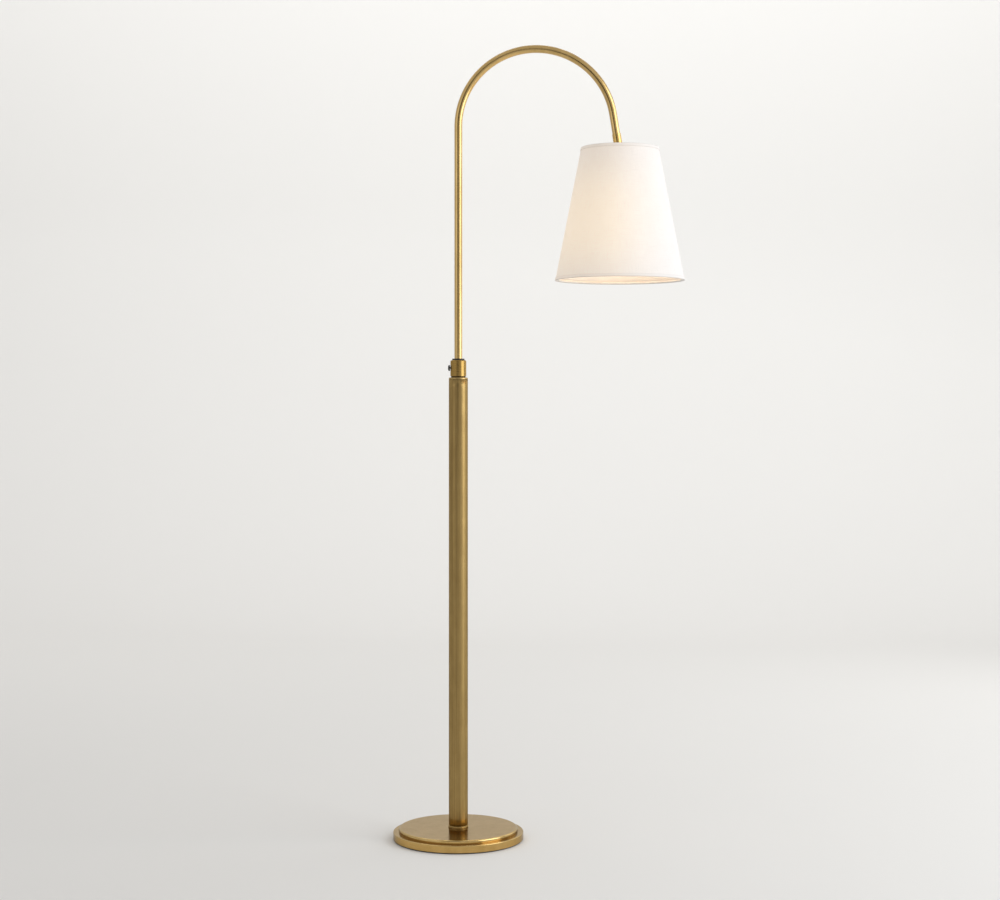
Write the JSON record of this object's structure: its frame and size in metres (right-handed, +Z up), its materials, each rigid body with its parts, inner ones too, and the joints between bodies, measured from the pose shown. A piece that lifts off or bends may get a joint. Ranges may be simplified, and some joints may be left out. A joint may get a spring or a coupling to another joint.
{
  "type": "arc floor lamp",
  "caption": "Floor lamp: weighted round base, brass column, hooked arm that slides and turns in a clamp collar, and a tilting lit head under a tapered linen shade.",
  "frame": {"origin": "on the floor, at the axis of the column and of the round base", "axes": "+Z up along the column; +X from the column towards the shade; +Y to the back, where the cord gland is"},
  "size_m": [0.5829, 0.2618, 1.5876],
  "materials": {
    "antique_brass": "matte antique brass with faint vertical grain",
    "satin_brass": "satin lacquered brass",
    "raw_brass": "plain turned brass",
    "cast_iron": "black painted casting",
    "zinc_steel": "zinc plated",
    "black_felt": "pressed felt",
    "black_nylon": "moulded nylon",
    "black_enamel": "black gloss enamel",
    "black_phenolic": "black phenolic",
    "fibre": "vulcanised fibre",
    "white_linen": "plain-weave white linen",
    "white_styrene": "matte white styrene sheet",
    "white_enamel": "white powder coat",
    "opal_glass": "frosted opal",
    "lead_vinyl": "satin vinyl sleeve"
  },
  "bodies": {
    "stand": {"base_pad": "black_felt", "base_weight": "cast_iron", "base_cover": "antique_brass", "cord_gland": "black_nylon", "base_stem": "zinc_steel", "stem_washer": "zinc_steel", "stem_spring_washer": "zinc_steel", "stem_nut": "zinc_steel", "column_foot": "antique_brass", "column_tube": "antique_brass", "column_cap": "antique_brass", "clamp_collar": "antique_brass", "base_lead": "lead_vinyl", "column_lead": "lead_vinyl"},
    "sleeve": {"clamp_sleeve": "black_nylon", "sleeve_clip": "zinc_steel"},
    "arm": {"arm_tube": "satin_brass", "arm_glide": "black_nylon", "arm_ferrule": "satin_brass", "knuckle_fork": "satin_brass", "pivot_screw": "raw_brass", "pivot_washer_back": "raw_brass", "pivot_washer_front": "raw_brass", "pivot_nut": "raw_brass", "arm_lead": "lead_vinyl"},
    "head": {"knuckle_tongue": "satin_brass", "friction_washer_back": "fibre", "friction_washer_front": "fibre", "head_stem": "zinc_steel", "shade_spider": "white_enamel", "shade_locknut": "raw_brass", "lampholder_cap": "raw_brass", "lampholder_shell": "raw_brass", "lampholder_paper": "fibre", "lampholder_core": "black_phenolic", "terminal_screw_right": "raw_brass", "terminal_screw_left": "zinc_steel", "screw_shell": "raw_brass", "centre_contact": "raw_brass", "bulb_cap": "zinc_steel", "bulb_contact": "zinc_steel", "bulb_glass": "opal_glass", "shade_liner": "white_styrene", "shade_fabric": "white_linen", "shade_top_hem": "white_linen", "shade_bottom_hem": "white_linen", "shade_bottom_ring": "white_enamel", "head_lead": "lead_vinyl"},
    "switch": {"switch_shaft": "raw_brass", "switch_key": "black_phenolic"},
    "pad": {"clamp_pad": "raw_brass"},
    "screw": {"thumb_screw": "raw_brass", "thumb_knob": "black_enamel"}
  },
  "joints": [
    {"name": "arm_swivel", "type": "hinge", "parent": "stand", "child": "sleeve", "pos_m": [0, 0, 0.94], "axis": [0, 0, 1], "range_deg": [-170, 170]},
    {"name": "arm_height", "type": "slide", "parent": "sleeve", "child": "arm", "axis": [0, 0, 1], "range_m": [-0.3, 0], "deforming": ["column_lead"]},
    {"name": "head_tilt", "type": "hinge", "parent": "arm", "child": "head", "pos_m": [0.32295, 0, 1.36762], "axis": [0, 1, 0], "range_deg": [-30, 30]},
    {"name": "switch_turn", "type": "hinge", "parent": "head", "child": "switch", "pos_m": [0.32295, -0.03, 1.30372], "axis": [0, -1, 0], "continuous": true},
    {"name": "clamp_press", "type": "slide", "parent": "stand", "child": "pad", "axis": [-1, 0, 0], "range_m": [0, 0.00105]},
    {"name": "thumb_turn", "type": "hinge", "parent": "pad", "child": "screw", "pos_m": [-0.0185, 0, 0.9416], "axis": [-1, 0, 0], "range_deg": [0, 541]}
  ],
  "couplings": [
    {"joint": "thumb_turn", "follows": "clamp_press", "rad_per_m": 8976}
  ]
}
